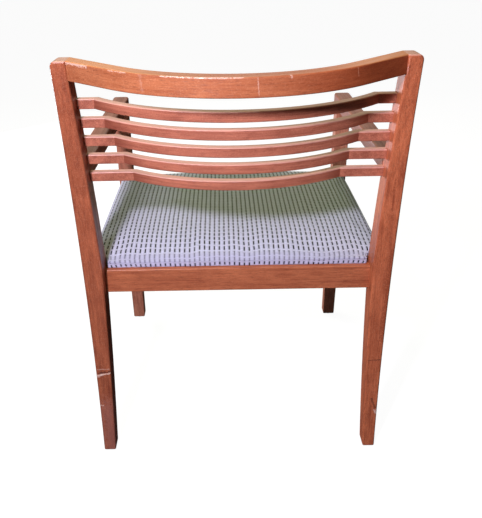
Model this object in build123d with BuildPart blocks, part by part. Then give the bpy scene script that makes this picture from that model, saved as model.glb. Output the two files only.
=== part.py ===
from build123d import *
from math import cos, pi, radians, sin, sqrt, tan
import os

# A guest armchair in stained hardwood: raked rear posts, a bowed crest rail over five bowed slats,
# open arms carried on the front legs, and an upholstered seat screwed down on a railed frame.
# Millimetres, +Z up, front towards -Y, +X on the sitter's left, origin under the middle of the chair.

# Overall sizes, with the reach measured from the back of the rear feet to the front of the front feet
chair_width = 568.0
chair_height = 810.0
chair_reach = 531.0

# Rear posts, bowed in side view and tapered in back view
post_foot_width = 24.0
post_seat_width = 36.5
post_top_width = 24.5
post_foot_depth = 33.0
post_seat_depth = 43.0
post_top_depth = 39.0
post_seat_height = 430.0
post_seat_step = 16.0
post_top_rake = 18.0
post_corner_round = 9.0
post_edge_round = 3.0
foot_edge_round = 2.5

# Crest rail, an arc with straight tangent ends and a top edge that dips in the middle
crest_height = 30.5
crest_thickness = 27.0
crest_radius = 285.0
crest_end_angle = 41.0
crest_setback = 3.0
crest_dip = 2.0
crest_edge_round = 2.0

# Back slats, straight at the posts and bowed between two sharp knees
slat_count = 5
slat_top_drop = 66.0
slat_pitch = 32.7
slat_height = 16.5
slat_thickness = 15.0
slat_radius = 320.0
slat_knee = 229.0
slat_knee_step = 12.75
slat_setback = 1.5
slat_edge_round = 1.5
tenon_length = 14.0
tenon_height = 10.0
tenon_thickness = 8.0

# Front legs, which slant forward below the rails, and arms
leg_width = 34.0
leg_depth = 34.0
leg_foot_width = 30.0
leg_foot_depth = 30.0
leg_kick = 17.0
leg_edge_round = 3.0
arm_height = 630.0
arm_thickness = 28.0
arm_rear_width = 30.0
arm_front_width = 36.0
arm_corner_round = 7.0
arm_edge_round = 4.0

# Seat rails and the blocks glued and screwed into their corners
rail_top = 416.0
rail_height = 47.5
rail_thickness = 21.0
side_rail_inset = 2.0
rail_edge_round = 1.5
block_leg = 75.0
block_tip = 12.0
block_height = 30.0

# Dowels
dowel_radius = 4.0
dowel_spacing = 24.0
crest_dowel_spacing = 14.0
crest_dowel_from_back = 14.0
crest_dowel_depth = 12.0
arm_dowel_spacing = 14.0
rail_dowel_leg_depth = 13.0
side_dowel_leg_depth = 20.0
rail_dowel_depth = 26.0

# Upholstered seat: plywood board, foam and a cloth cover drawn round it
seat_side_inset = 5.0
seat_ledge = 7.0
seat_front_inset = 5.0
seat_gap = 1.5
seat_draw_in = 5.0
seat_shoulder_inset = 12.0
seat_edge = 16.0
seat_crown = 38.0
seat_shoulder_drop = 8.0
seat_stations = 9
cover_cloth = 1.2
board_thickness = 12.0
board_inset = 2.0
dust_cloth = 0.8
dust_margin = 1.5
dust_overlap = 14.0

# Screws, tee nuts, staples, glides and nails
seat_screw_radius = 3.0
seat_screw_head_radius = 6.0
seat_screw_head_height = 3.5
seat_screw_from_corner = 22.0
tee_nut_radius = 4.2
tee_nut_length = 9.0
tee_flange_radius = 9.5
tee_flange_thickness = 1.6
block_screw_radius = 2.2
block_screw_head_radius = 4.2
block_screw_head_height = 3.0
block_screw_from_corner = 54.0
block_screw_length = 34.0
block_screw_seat = 18.0
staple_crown = 10.0
staple_wire = 0.9
staple_leg = 7.0
staple_pitch = 62.0
glide_radius = 9.0
glide_height = 4.0
glide_chamfer = 1.0
nail_radius = 1.3
nail_length = 18.0
nail_head_radius = 3.2
nail_head_height = 1.2
nail_head_rise = 0.8

# Fits: glue lines, running room for screws and the air left at the bottom of blind holes
glue_gap = 0.15
screw_gap = 0.3
hole_air = 2.0
face_gap = 0.15

half_width = chair_width / 2
rail_bottom = rail_top - rail_height
rail_middle = rail_top - rail_height / 2
crest_bottom = chair_height - crest_height
crest_middle = chair_height - crest_height / 2


def post_inner(z):
    """Distance of a post's inner face from the middle of the chair at height z."""
    if z < post_seat_height:
        share = (z - glide_height) / (post_seat_height - glide_height)
        return half_width - post_foot_width - share * (post_seat_width - post_foot_width)
    share = (z - post_seat_height) / (chair_height - post_seat_height)
    return half_width - post_seat_width - share * (post_top_width - post_seat_width)


# How far the crest bows back from the posts, and the place of the rear feet that centres the chair
crest_angle = radians(crest_end_angle)
crest_arc_half = crest_radius * sin(crest_angle)
crest_end_half = post_inner(crest_middle)
crest_top_half = post_inner(chair_height)
crest_bow = (
    crest_radius * (1 - cos(crest_angle))
    + (crest_end_half - crest_arc_half) * tan(crest_angle)
)
foot_y = (chair_reach - crest_bow - post_top_rake + crest_setback) / 2

# The bowed faces of the posts in side view, as arcs in Y and Z
post_back_points = [
    (foot_y, glide_height),
    (foot_y - post_seat_step, post_seat_height),
    (foot_y + post_top_rake, chair_height),
]
post_front_points = [
    (foot_y - post_foot_depth, glide_height),
    (foot_y - post_seat_step - post_seat_depth, post_seat_height),
    (foot_y + post_top_rake - post_top_depth, chair_height),
]
post_back_arc = ThreePointArc(*post_back_points)
post_front_arc = ThreePointArc(*post_front_points)


def face_y(arc, z):
    """Y of a bowed post face at height z."""
    return arc.arc_center.X - sqrt(arc.radius**2 - (z - arc.arc_center.Y) ** 2)


# Planes that the seat frame is built on
post_face_y = face_y(post_front_arc, rail_bottom) - face_gap
leg_front_y = foot_y - chair_reach + leg_kick
leg_back_y = leg_front_y + leg_depth
leg_middle_y = leg_front_y + leg_depth / 2
leg_inner = half_width - leg_width
side_rail_outer = half_width - side_rail_inset
side_rail_inner = side_rail_outer - rail_thickness
side_rail_middle = side_rail_inner + rail_thickness / 2
arm_bottom = arm_height - arm_thickness
arm_middle = arm_height - arm_thickness / 2
crest_back_y = foot_y + post_top_rake - crest_setback
crest_centre_y = crest_back_y + crest_bow - crest_radius


def slat_top(number):
    """Height of a slat's upper face, counted from the top slat."""
    return chair_height - slat_top_drop - number * slat_pitch


def slat_middle(number):
    """Height of a slat's middle."""
    return slat_top(number) - slat_height / 2


def slat_front_y(number):
    """Y of the front face of a slat's straight ends, just behind the post's front face."""
    return face_y(post_front_arc, slat_middle(number)) + slat_setback


def between_posts():
    """Trim the piece in hand to the tapered space between the two posts."""
    with BuildSketch(Plane.XZ) as space:
        with BuildLine():
            Polyline(
                (post_inner(chair_height), chair_height),
                (post_inner(post_seat_height), post_seat_height),
                (post_inner(glide_height), glide_height),
                (-post_inner(glide_height), glide_height),
                (-post_inner(post_seat_height), post_seat_height),
                (-post_inner(chair_height), chair_height),
                close=True,
            )
        make_face()
    extrude(space.sketch, amount=chair_reach, both=True, mode=Mode.INTERSECT)


def rods(joints, radius, extra, mode):
    """Round rods through joint faces: each joint is a point, a direction and the depth either side."""
    for point, toward, depth_ahead, depth_behind in joints:
        start = Vector(*point) - Vector(*toward) * (depth_behind + extra)
        length = depth_ahead + depth_behind + 2 * extra
        with Locations(Plane(origin=start, z_dir=toward)):
            Cylinder(radius, length, align=(Align.CENTER, Align.CENTER, Align.MIN), mode=mode)


def joint_pair(point, spread, toward, ahead, behind):
    """Two dowel joints spread about a point on the joint face, with the way into the leg and both depths."""
    middle = Vector(*point)
    offset = Vector(*spread) / 2
    return [(tuple(middle + offset * lift), toward, ahead, behind) for lift in (-1, 1)]


# Dowel joints on the left side
crest_joints = joint_pair(
    (crest_end_half, crest_back_y - crest_dowel_from_back, crest_middle),
    (0, 0, crest_dowel_spacing),
    (1, 0, 0),
    tenon_length,
    crest_dowel_depth,
)
rear_rail_joints = joint_pair(
    (post_inner(rail_middle), post_face_y + rail_thickness / 2, rail_middle),
    (0, 0, dowel_spacing),
    (1, 0, 0),
    rail_dowel_leg_depth,
    rail_dowel_depth,
)
front_rail_joints = joint_pair(
    (leg_inner, leg_back_y - rail_thickness / 2, rail_middle),
    (0, 0, dowel_spacing),
    (1, 0, 0),
    rail_dowel_leg_depth,
    rail_dowel_depth,
)
side_rear_joints = joint_pair(
    (side_rail_middle, post_face_y, rail_middle),
    (0, 0, dowel_spacing),
    (0, 1, 0),
    side_dowel_leg_depth,
    rail_dowel_depth,
)
side_front_joints = joint_pair(
    (side_rail_middle, leg_back_y, rail_middle),
    (0, 0, dowel_spacing),
    (0, -1, 0),
    side_dowel_leg_depth,
    rail_dowel_depth,
)
arm_rear_joints = joint_pair(
    (half_width - arm_rear_width / 2, face_y(post_front_arc, arm_middle), arm_middle),
    (arm_dowel_spacing, 0, 0),
    (0, 1, 0),
    side_dowel_leg_depth,
    rail_dowel_depth,
)
arm_front_joints = joint_pair(
    (half_width - leg_width / 2, leg_middle_y, arm_bottom),
    (0, arm_dowel_spacing, 0),
    (0, 0, -1),
    rail_dowel_depth,
    arm_thickness / 2,
)


def mirrored(joints):
    """The same dowel joints on the right side."""
    return [
        ((-point[0], point[1], point[2]), (-toward[0], toward[1], toward[2]), ahead, behind)
        for point, toward, ahead, behind in joints
    ]


def dowel_holes(joints):
    """Blind holes for dowels, with a glue line round them and air at each end."""
    rods(joints, dowel_radius + glue_gap, hole_air, Mode.SUBTRACT)


# Feet: the middle of each left leg's end grain, where a glide is nailed on
rear_foot = (half_width - post_foot_width / 2, foot_y - post_foot_depth / 2)
front_foot = (half_width - leg_foot_width / 2, leg_front_y - leg_kick + leg_foot_depth / 2)


def nail_hole(foot):
    """A snug hole up into a leg for the nail of its glide."""
    with Locations((foot[0], foot[1], glide_height)):
        Cylinder(
            nail_radius + glue_gap,
            nail_length + hole_air,
            align=(Align.CENTER, Align.CENTER, Align.MIN),
            mode=Mode.SUBTRACT,
        )


def ease_foot(piece):
    """Round the edges of a leg's lower end."""
    fillet(piece.faces().sort_by(Axis.Z)[0].edges(), foot_edge_round)


os.makedirs("parts", exist_ok=True)


def save(piece, name):
    """Label a finished piece and write it as its own file."""
    piece.label = name
    export_step(piece, f"parts/{name}.step")


# Rear posts: one length of hardwood from foot to crest, mortised for the slats
with BuildPart() as back_post_left:
    with BuildSketch(Plane.YZ):
        with BuildLine():
            ThreePointArc(*post_back_points)
            Line(post_back_points[2], post_front_points[2])
            ThreePointArc(*reversed(post_front_points))
            Line(post_front_points[0], post_back_points[0])
        make_face()
    extrude(amount=half_width)
    with BuildSketch(Plane.XZ):
        with BuildLine():
            Polyline(
                (post_inner(glide_height), glide_height),
                (half_width, glide_height),
                (half_width, chair_height),
                (post_inner(chair_height), chair_height),
                (post_inner(post_seat_height), post_seat_height),
                close=True,
            )
        outline = make_face()
        fillet(outline.vertices().group_by(Axis.Y)[-1].sort_by(Axis.X)[-1], post_corner_round)
    extrude(amount=chair_reach, both=True, mode=Mode.INTERSECT)
    long_edges = back_post_left.edges().filter_by(
        lambda edge: edge.bounding_box().size.Z > crest_height * 2
    )
    fillet(long_edges, post_edge_round)
    ease_foot(back_post_left)
    for number in range(slat_count):
        mortise_start = post_inner(slat_middle(number)) - tenon_length
        mortise_end = post_inner(slat_middle(number)) + tenon_length + hole_air
        with Locations((mortise_start, slat_front_y(number) + slat_thickness / 2, slat_middle(number))):
            Box(
                mortise_end - mortise_start,
                tenon_thickness + 2 * glue_gap,
                tenon_height + 2 * glue_gap,
                align=(Align.MIN, Align.CENTER, Align.CENTER),
                mode=Mode.SUBTRACT,
            )
    dowel_holes(crest_joints + rear_rail_joints + side_rear_joints + arm_rear_joints)
    nail_hole(rear_foot)
save(back_post_left.part, "back_post_left")

with BuildPart() as back_post_right:
    mirror(back_post_left.part, about=Plane.YZ)
save(back_post_right.part, "back_post_right")


def crest_line(radius, reach):
    """One long face of the crest in plan: straight, arc, straight, out to the given half length."""
    arc_x = radius * sin(crest_angle)
    arc_y = crest_centre_y + radius * cos(crest_angle)
    end_y = arc_y - (reach - arc_x) * tan(crest_angle)
    Line((-reach, end_y), (-arc_x, arc_y))
    ThreePointArc((-arc_x, arc_y), (0, crest_centre_y + radius), (arc_x, arc_y))
    Line((arc_x, arc_y), (reach, end_y))
    return end_y


# Crest rail: bent to an arc, butted between the post tops and dowelled to them
with BuildPart() as crest_rail:
    with BuildSketch(Plane.XY.offset(crest_bottom)):
        with BuildLine():
            back_end = crest_line(crest_radius, half_width)
            front_end = crest_line(crest_radius - crest_thickness, half_width)
            Line((-half_width, back_end), (-half_width, front_end))
            Line((half_width, back_end), (half_width, front_end))
        make_face()
    extrude(amount=crest_height)
    with BuildSketch(Plane.XZ):
        with BuildLine():
            ThreePointArc(
                (-crest_top_half, chair_height),
                (0, chair_height - crest_dip),
                (crest_top_half, chair_height),
            )
            Polyline(
                (crest_top_half, chair_height),
                (crest_top_half, crest_bottom),
                (-crest_top_half, crest_bottom),
                (-crest_top_half, chair_height),
            )
        make_face()
    extrude(amount=chair_reach, both=True, mode=Mode.INTERSECT)
    between_posts()
    crest_edges = crest_rail.edges().filter_by(
        lambda edge: edge.bounding_box().size.X > crest_thickness
    )
    fillet(crest_edges, crest_edge_round)
    dowel_holes(crest_joints + mirrored(crest_joints))
save(crest_rail.part, "crest_rail")

# Back slats: sawn to a bow with square straight ends, each tenoned into both posts
for number in range(slat_count):
    knee = slat_knee - number * slat_knee_step
    centre_to_chord = sqrt(slat_radius**2 - knee**2)
    front_radius = slat_radius - slat_thickness
    front_knee = sqrt(front_radius**2 - (centre_to_chord - slat_thickness) ** 2)
    front_y = slat_front_y(number)
    back_y = front_y + slat_thickness
    centre_y = back_y - centre_to_chord
    with BuildPart() as back_slat:
        with BuildSketch(Plane.XY.offset(slat_top(number) - slat_height)):
            with BuildLine():
                Line((-half_width, back_y), (-knee, back_y))
                ThreePointArc((-knee, back_y), (0, centre_y + slat_radius), (knee, back_y))
                Line((knee, back_y), (half_width, back_y))
                Line((half_width, back_y), (half_width, front_y))
                Line((half_width, front_y), (front_knee, front_y))
                ThreePointArc((front_knee, front_y), (0, centre_y + front_radius), (-front_knee, front_y))
                Line((-front_knee, front_y), (-half_width, front_y))
                Line((-half_width, front_y), (-half_width, back_y))
            make_face()
        extrude(amount=slat_height)
        between_posts()
        slat_edges = back_slat.edges().filter_by(
            lambda edge: edge.bounding_box().size.X > slat_edge_round * 2
        )
        fillet(slat_edges, slat_edge_round)
        shoulder = post_inner(slat_middle(number))
        for side in (-1, 1):
            with Locations((side * shoulder, front_y + slat_thickness / 2, slat_middle(number))):
                Box(2 * tenon_length, tenon_thickness, tenon_height)
    save(back_slat.part, f"back_slat_{number + 1}")

# Front legs: upright above the rails, tapered and slanted forward down to the foot, dowelled into the arm
leg_sections = [
    (glide_height, leg_foot_width, leg_foot_depth, front_foot[1]),
    (rail_bottom, leg_width, leg_depth, leg_middle_y),
    (arm_bottom, leg_width, leg_depth, leg_middle_y),
]
with BuildPart() as front_leg_left:
    for height, width, depth, middle_y in leg_sections:
        with BuildSketch(Plane.XY.offset(height)):
            with Locations((half_width - width / 2, middle_y)):
                RectangleRounded(width, depth, leg_edge_round)
    loft(ruled=True)
    ease_foot(front_leg_left)
    dowel_holes(front_rail_joints + side_front_joints + arm_front_joints)
    nail_hole(front_foot)
save(front_leg_left.part, "front_leg_left")

with BuildPart() as front_leg_right:
    mirror(front_leg_left.part, about=Plane.YZ)
save(front_leg_right.part, "front_leg_right")

# Arms: flat boards that widen to the front, scribed to the bowed post and set down on the leg
with BuildPart() as arm_left:
    with BuildSketch(Plane.XY.offset(arm_bottom)):
        with BuildLine():
            Polyline(
                (half_width, foot_y),
                (half_width, leg_front_y),
                (half_width - arm_front_width, leg_front_y),
                (half_width - arm_rear_width, foot_y),
                close=True,
            )
        outline = make_face()
        fillet(outline.vertices().group_by(Axis.Y)[0], arm_corner_round)
    extrude(amount=arm_thickness)
    with BuildSketch(Plane.YZ):
        with BuildLine():
            ThreePointArc(*[(y - face_gap, z) for y, z in post_front_points])
            Polyline(
                (post_front_points[2][0] - face_gap, chair_height),
                (leg_front_y, chair_height),
                (leg_front_y, glide_height),
                (post_front_points[0][0] - face_gap, glide_height),
            )
        make_face()
    extrude(amount=half_width, mode=Mode.INTERSECT)
    top_edges = arm_left.faces().sort_by(Axis.Z)[-1].edges()
    fillet(top_edges.sort_by(Axis.Y)[:-1], arm_edge_round)
    dowel_holes(arm_rear_joints + arm_front_joints)
save(arm_left.part, "arm_left")

with BuildPart() as arm_right:
    mirror(arm_left.part, about=Plane.YZ)
save(arm_right.part, "arm_right")

# Inner corners of the seat frame: side of the chair, Y of the corner, way into the frame, and name
frame_corners = [
    (1, post_face_y, -1, "rear_left"),
    (-1, post_face_y, -1, "rear_right"),
    (1, leg_back_y, 1, "front_left"),
    (-1, leg_back_y, 1, "front_right"),
]
block_bottom = rail_top - block_height
block_screw_hold = block_screw_length - block_screw_seat


def from_corner(corner, across, along, z):
    """A point measured from an inner frame corner, across the chair and along it."""
    side, corner_y, inward, _ = corner
    return (side * (side_rail_inner - across), corner_y + inward * along, z)


def block_screw_joints(corner):
    """The two screws of a corner block, one into each rail."""
    side, _, inward, _ = corner
    middle = rail_top - block_height / 2
    cross_point = from_corner(corner, block_screw_from_corner, 0, middle)
    side_point = from_corner(corner, 0, block_screw_from_corner, middle)
    return [
        (cross_point, (0, -inward, 0), block_screw_hold, block_screw_seat),
        (side_point, (side, 0, 0), block_screw_hold, block_screw_seat),
    ]


def block_screw_heads(corner):
    """The heads of the same screws, seated inside the block."""
    return [
        (point, toward, -block_screw_seat, block_screw_seat + block_screw_head_height)
        for point, toward, _, _ in block_screw_joints(corner)
    ]


def screw_pilots():
    """Pilot holes for the corner block screws in the rail in hand."""
    for corner in frame_corners:
        rods(block_screw_joints(corner), block_screw_radius + glue_gap, hole_air, Mode.SUBTRACT)


# Rear and front seat rails, dowelled between the posts and between the legs
with BuildPart() as rear_seat_rail:
    with Locations((0, post_face_y, rail_bottom)):
        Box(chair_width, rail_thickness, rail_height, align=(Align.CENTER, Align.MIN, Align.MIN))
    between_posts()
    rail_edges = rear_seat_rail.faces().sort_by(Axis.Y)[-1].edges().filter_by(Axis.X)
    fillet(rail_edges, rail_edge_round)
    dowel_holes(rear_rail_joints + mirrored(rear_rail_joints))
    screw_pilots()
save(rear_seat_rail.part, "rear_seat_rail")

with BuildPart() as front_seat_rail:
    with Locations((0, leg_back_y, rail_bottom)):
        Box(2 * leg_inner, rail_thickness, rail_height, align=(Align.CENTER, Align.MAX, Align.MIN))
    rail_edges = front_seat_rail.faces().sort_by(Axis.Y)[0].edges().filter_by(Axis.X)
    fillet(rail_edges, rail_edge_round)
    dowel_holes(front_rail_joints + mirrored(front_rail_joints))
    screw_pilots()
save(front_seat_rail.part, "front_seat_rail")

# Side seat rails, dowelled between each post and its front leg
with BuildPart() as side_seat_rail_left:
    with Locations((side_rail_inner, leg_back_y, rail_bottom)):
        Box(rail_thickness, post_face_y - leg_back_y, rail_height, align=Align.MIN)
    rail_edges = side_seat_rail_left.faces().sort_by(Axis.X)[-1].edges().filter_by(Axis.Y)
    fillet(rail_edges, rail_edge_round)
    dowel_holes(side_rear_joints + side_front_joints)
    screw_pilots()
save(side_seat_rail_left.part, "side_seat_rail_left")

with BuildPart() as side_seat_rail_right:
    mirror(side_seat_rail_left.part, about=Plane.YZ)
save(side_seat_rail_right.part, "side_seat_rail_right")

# Heights of the seat's layers, and where the seat screw heads sit
board_bottom = rail_top + cover_cloth
board_top = board_bottom + board_thickness
seat_screw_head_bottom = block_bottom + hole_air
seat_screw_neck = seat_screw_head_bottom + seat_screw_head_height
seat_screw_tip = board_top - face_gap


def seat_screw_rods(radius, bottom, top, mode):
    """Upright rods on the axes of the four seat screws."""
    for corner in frame_corners:
        with Locations(from_corner(corner, seat_screw_from_corner, seat_screw_from_corner, bottom)):
            Cylinder(radius, top - bottom, align=(Align.CENTER, Align.CENTER, Align.MIN), mode=mode)


# Corner blocks: three-cornered, glued and screwed into the frame, bored for the seat screws
for corner in frame_corners:
    with BuildPart() as corner_block:
        with BuildSketch(Plane.XY.offset(block_bottom)):
            with BuildLine():
                Polyline(
                    from_corner(corner, 0, 0, 0)[:2],
                    from_corner(corner, block_leg, 0, 0)[:2],
                    from_corner(corner, block_leg, block_tip, 0)[:2],
                    from_corner(corner, block_tip, block_leg, 0)[:2],
                    from_corner(corner, 0, block_leg, 0)[:2],
                    close=True,
                )
            make_face()
        extrude(amount=block_height)
        rods(block_screw_joints(corner), block_screw_radius + glue_gap, hole_air, Mode.SUBTRACT)
        counterbores = [
            (point, toward, -block_screw_seat, block_leg)
            for point, toward, _, _ in block_screw_joints(corner)
        ]
        rods(counterbores, block_screw_head_radius + screw_gap, 0, Mode.SUBTRACT)
        seat_screw_rods(seat_screw_radius + screw_gap, block_bottom, rail_top, Mode.SUBTRACT)
        seat_screw_rods(seat_screw_head_radius + screw_gap, block_bottom, seat_screw_neck, Mode.SUBTRACT)
    save(corner_block.part, f"corner_block_{corner[3]}")

with BuildPart() as corner_block_screws:
    for corner in frame_corners:
        rods(block_screw_joints(corner), block_screw_radius, 0, Mode.ADD)
        rods(block_screw_heads(corner), block_screw_head_radius, 0, Mode.ADD)
save(corner_block_screws.part, "corner_block_screws")

# Dowels of each joint, birch pins a glue line smaller than their holes
with BuildPart() as crest_dowels:
    rods(crest_joints + mirrored(crest_joints), dowel_radius, 0, Mode.ADD)
save(crest_dowels.part, "crest_dowels")

with BuildPart() as arm_dowels:
    arm_joints = arm_rear_joints + arm_front_joints
    rods(arm_joints + mirrored(arm_joints), dowel_radius, 0, Mode.ADD)
save(arm_dowels.part, "arm_dowels")

with BuildPart() as seat_rail_dowels:
    rail_joints = rear_rail_joints + front_rail_joints + side_rear_joints + side_front_joints
    rods(rail_joints + mirrored(rail_joints), dowel_radius, 0, Mode.ADD)
save(seat_rail_dowels.part, "seat_rail_dowels")

# Plan of the upholstered seat, which is notched round the posts and the front legs
seat_rear_y = post_face_y + rail_thickness - seat_ledge
seat_front_y = leg_front_y + seat_front_inset
post_notch_x = half_width - post_seat_width - seat_gap
post_notch_y = post_face_y - seat_gap
leg_notch_x = leg_inner - seat_gap
leg_notch_y = leg_back_y + seat_gap
seat_half_width = half_width - seat_side_inset
seat_middle_y = (seat_rear_y + seat_front_y) / 2
seat_half_depth = (seat_rear_y - seat_front_y) / 2


def seat_form(inset):
    """The padded seat's crowned body, every face drawn in by the inset."""
    half = seat_half_width - inset
    bottom = rail_top + inset
    with BuildPart() as form:
        for station in range(seat_stations):
            along = cos(pi * station / (seat_stations - 1))
            rise = seat_edge + (seat_crown - seat_edge) * sqrt(1 - along**4)
            y = seat_middle_y + along * (seat_half_depth - inset)
            top = rail_top + rise - inset
            shoulder = top - seat_shoulder_drop * rise / seat_crown
            with BuildSketch(Plane.XZ.offset(-y)):
                with BuildLine():
                    Line((-half + seat_draw_in, bottom), (half - seat_draw_in, bottom))
                    ThreePointArc(
                        (half - seat_draw_in, bottom),
                        (half, (bottom + shoulder) / 2),
                        (half - seat_shoulder_inset, shoulder),
                    )
                    ThreePointArc(
                        (half - seat_shoulder_inset, shoulder),
                        (0, top),
                        (-half + seat_shoulder_inset, shoulder),
                    )
                    ThreePointArc(
                        (-half + seat_shoulder_inset, shoulder),
                        (-half, (bottom + shoulder) / 2),
                        (-half + seat_draw_in, bottom),
                    )
                make_face()
        loft()
        for side in (-1, 1):
            post_notch_middle = side * (post_notch_x - inset + half_width / 2)
            leg_notch_middle = side * (leg_notch_x - inset + half_width / 2)
            with Locations((post_notch_middle, post_notch_y - inset, rail_top)):
                Box(
                    half_width,
                    chair_reach,
                    chair_height,
                    align=(Align.CENTER, Align.MIN, Align.CENTER),
                    mode=Mode.SUBTRACT,
                )
            with Locations((leg_notch_middle, leg_notch_y + inset, rail_top)):
                Box(
                    half_width,
                    chair_reach,
                    chair_height,
                    align=(Align.CENTER, Align.MAX, Align.CENTER),
                    mode=Mode.SUBTRACT,
                )
    return form.part


def underside_plan(inset):
    """The open middle of the seat frame, an octagon clear of the corner blocks, drawn in by the inset."""
    rear = post_face_y - dust_margin - inset
    front = leg_back_y + dust_margin + inset
    with Locations((0, (rear + front) / 2)):
        outline = Rectangle(2 * (side_rail_inner - dust_margin - inset), rear - front)
    chamfer(outline.vertices(), block_leg + block_tip - inset * (2 - sqrt(2)))


# Places of the staples, in rows along the four straight sides of the dust cover's rim
staple_x = side_rail_inner - dust_margin - dust_overlap / 2
staple_rear_y = post_face_y - dust_margin - dust_overlap / 2
staple_front_y = leg_back_y + dust_margin + dust_overlap / 2
staple_middle_y = (staple_rear_y + staple_front_y) / 2
staple_top = rail_top - dust_cloth
row_trim = 2 * (block_leg + block_tip)


def staple_row(length):
    """Offsets of evenly spaced staples along a row, from its middle."""
    count = int((length - row_trim) / staple_pitch) + 1
    return [(step - (count - 1) / 2) * staple_pitch for step in range(count)]


side_rows = [
    Location((side * staple_x, staple_middle_y + offset, staple_top), (0, 0, 90))
    for side in (-1, 1)
    for offset in staple_row(staple_rear_y - staple_front_y)
]
cross_rows = [
    Location((offset, row_y, staple_top))
    for row_y in (staple_rear_y, staple_front_y)
    for offset in staple_row(2 * staple_x)
]
staple_places = side_rows + cross_rows
staple_leg_places = [
    place * Location((side * (staple_crown - staple_wire) / 2, 0, 0))
    for place in staple_places
    for side in (-1, 1)
]


def staple_legs(gap, mode):
    """The staples' legs, standing up from their crowns."""
    with Locations(*staple_leg_places):
        Box(
            staple_wire + 2 * gap,
            staple_wire + 2 * gap,
            staple_leg + gap,
            align=(Align.CENTER, Align.CENTER, Align.MIN),
            mode=mode,
        )


# Seat board: plywood, notched like the seat and bored for the tee nuts
cloth_inset = cover_cloth + board_inset
board_half = seat_half_width - seat_draw_in - cloth_inset
with BuildPart() as board_blank:
    with BuildSketch(Plane.XY.offset(board_bottom)):
        main_rear = post_notch_y - cloth_inset
        main_front = leg_notch_y + cloth_inset
        with Locations((0, (main_rear + main_front) / 2)):
            Rectangle(2 * board_half, main_rear - main_front)
        with Locations((0, (seat_rear_y - cloth_inset + main_rear) / 2)):
            Rectangle(2 * (post_notch_x - cloth_inset), seat_rear_y - cloth_inset - main_rear)
        with Locations((0, (main_front + seat_front_y + cloth_inset) / 2)):
            Rectangle(2 * (leg_notch_x - cloth_inset), main_front - seat_front_y - cloth_inset)
    extrude(amount=board_thickness)

with BuildPart() as seat_board:
    add(board_blank.part)
    flange_bottom = board_top - tee_flange_thickness
    seat_screw_rods(tee_nut_radius + glue_gap, board_bottom, board_top, Mode.SUBTRACT)
    seat_screw_rods(tee_flange_radius + glue_gap, flange_bottom, board_top, Mode.SUBTRACT)
    staple_legs(glue_gap, Mode.SUBTRACT)
save(seat_board.part, "seat_board")

# Seat foam: a crowned pad glued on the board and drawn down over its edges
outer_form = seat_form(0)
inner_form = seat_form(cover_cloth)
with BuildPart() as seat_foam:
    add(inner_form)
    add(board_blank.part, mode=Mode.SUBTRACT)
save(seat_foam.part, "seat_foam")

# Seat cover: upholstery cloth drawn over the foam and turned in under the board
with BuildPart() as seat_cover:
    add(outer_form)
    add(inner_form, mode=Mode.SUBTRACT)
    with BuildSketch(Plane.XY.offset(rail_top)):
        underside_plan(dust_overlap)
    extrude(amount=cover_cloth, mode=Mode.SUBTRACT)
    seat_screw_rods(seat_screw_radius + screw_gap, rail_top, board_bottom, Mode.SUBTRACT)
    staple_legs(glue_gap, Mode.SUBTRACT)
save(seat_cover.part, "seat_cover")

# Dust cover: thin black cloth closing the underside inside the rails
with BuildPart() as dust_cover:
    with BuildSketch(Plane.XY.offset(rail_top - dust_cloth)):
        underside_plan(0)
    extrude(amount=dust_cloth)
    staple_legs(glue_gap, Mode.SUBTRACT)
save(dust_cover.part, "dust_cover")

with BuildPart() as seat_staples:
    with Locations(*staple_places):
        Box(staple_crown, staple_wire, staple_wire, align=(Align.CENTER, Align.CENTER, Align.MAX))
    staple_legs(0, Mode.ADD)
save(seat_staples.part, "seat_staples")

# Seat screws, driven up through the corner blocks into tee nuts let into the board
with BuildPart() as seat_screws:
    seat_screw_rods(seat_screw_radius, seat_screw_head_bottom, seat_screw_tip, Mode.ADD)
    seat_screw_rods(seat_screw_head_radius, seat_screw_head_bottom, seat_screw_neck, Mode.ADD)
save(seat_screws.part, "seat_screws")

with BuildPart() as seat_tee_nuts:
    seat_screw_rods(tee_nut_radius, board_top - tee_nut_length, board_top, Mode.ADD)
    seat_screw_rods(tee_flange_radius, flange_bottom, board_top, Mode.ADD)
    seat_screw_rods(seat_screw_radius + glue_gap, board_bottom, board_top, Mode.SUBTRACT)
save(seat_tee_nuts.part, "seat_tee_nuts")

# Floor glides: turned nylon discs, each held by one nail up into the leg
feet = [
    ("rear_left", rear_foot[0], rear_foot[1]),
    ("rear_right", -rear_foot[0], rear_foot[1]),
    ("front_left", front_foot[0], front_foot[1]),
    ("front_right", -front_foot[0], front_foot[1]),
]
for name, foot_x, glide_y in feet:
    with BuildPart() as glide:
        with Locations((foot_x, glide_y, 0)):
            Cylinder(glide_radius, glide_height, align=(Align.CENTER, Align.CENTER, Align.MIN))
        chamfer(glide.faces().sort_by(Axis.Z)[0].edges(), glide_chamfer)
        with Locations((foot_x, glide_y, 0)):
            Cylinder(
                nail_radius + glue_gap,
                glide_height,
                align=(Align.CENTER, Align.CENTER, Align.MIN),
                mode=Mode.SUBTRACT,
            )
            Cylinder(
                nail_head_radius + glue_gap,
                nail_head_rise + nail_head_height,
                align=(Align.CENTER, Align.CENTER, Align.MIN),
                mode=Mode.SUBTRACT,
            )
    save(glide.part, f"glide_{name}")

with BuildPart() as glide_nails:
    for name, foot_x, glide_y in feet:
        with Locations((foot_x, glide_y, nail_head_rise)):
            Cylinder(nail_head_radius, nail_head_height, align=(Align.CENTER, Align.CENTER, Align.MIN))
            Cylinder(
                nail_radius,
                glide_height + nail_length - nail_head_rise,
                align=(Align.CENTER, Align.CENTER, Align.MIN),
            )
save(glide_nails.part, "glide_nails")
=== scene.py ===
import math

import bmesh
import bpy
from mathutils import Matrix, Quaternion, Vector


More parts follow.
